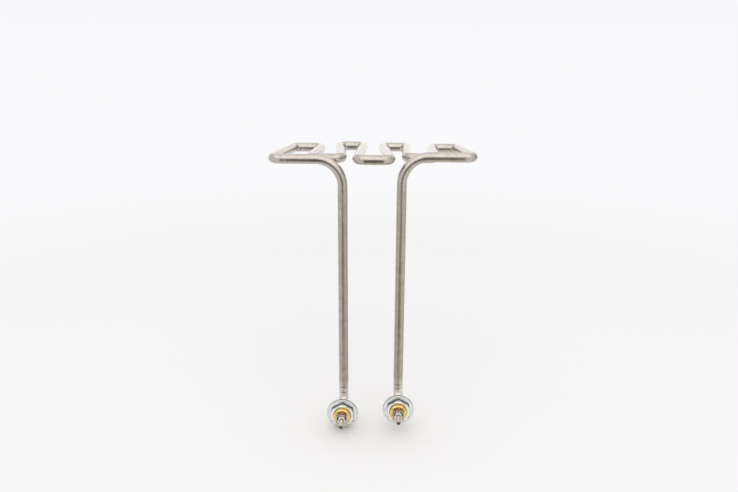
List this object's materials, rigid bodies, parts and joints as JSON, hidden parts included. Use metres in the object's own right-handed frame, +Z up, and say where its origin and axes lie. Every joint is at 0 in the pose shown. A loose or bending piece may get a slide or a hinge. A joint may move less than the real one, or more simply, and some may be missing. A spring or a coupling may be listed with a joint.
{
  "type": "tubular heating element",
  "caption": "Sheathed tubular heater bent into a flat serpentine on tall legs, with threaded brass panel bushings, washers, nuts and screw terminals.",
  "frame": {"origin": "midway between the two bushing axes, on the seat plane where the bushing collars meet the panel", "axes": "+Z up along the legs to the serpentine, -Y out of the panel along the bushings and terminals, +X towards the right leg seen from the terminal side"},
  "size_m": [0.179, 0.1297, 0.2494],
  "materials": {
    "sheath_steel": "drawn stainless tube, warm grey after annealing",
    "bushing_brass": "turned brass",
    "zinc_plate": "bright zinc plated steel",
    "nickel_plate": "dull nickel plated steel",
    "red_silicone": "moulded silicone",
    "white_ceramic": "unglazed steatite",
    "magnesia": "compacted powder"
  },
  "bodies": {
    "root": {"sheath_tube": "sheath_steel", "left_bushing": "bushing_brass", "right_bushing": "bushing_brass", "left_panel_washer": "zinc_plate", "right_panel_washer": "zinc_plate", "left_lock_nut": "zinc_plate", "right_lock_nut": "zinc_plate", "left_magnesia_filling": "magnesia", "right_magnesia_filling": "magnesia", "left_end_seal": "red_silicone", "right_end_seal": "red_silicone", "left_ceramic_bead": "white_ceramic", "right_ceramic_bead": "white_ceramic", "left_cold_pin": "nickel_plate", "right_cold_pin": "nickel_plate", "left_clamp_plate": "nickel_plate", "right_clamp_plate": "nickel_plate", "left_terminal_nut": "nickel_plate", "right_terminal_nut": "nickel_plate"}
  },
  "joints": []
}
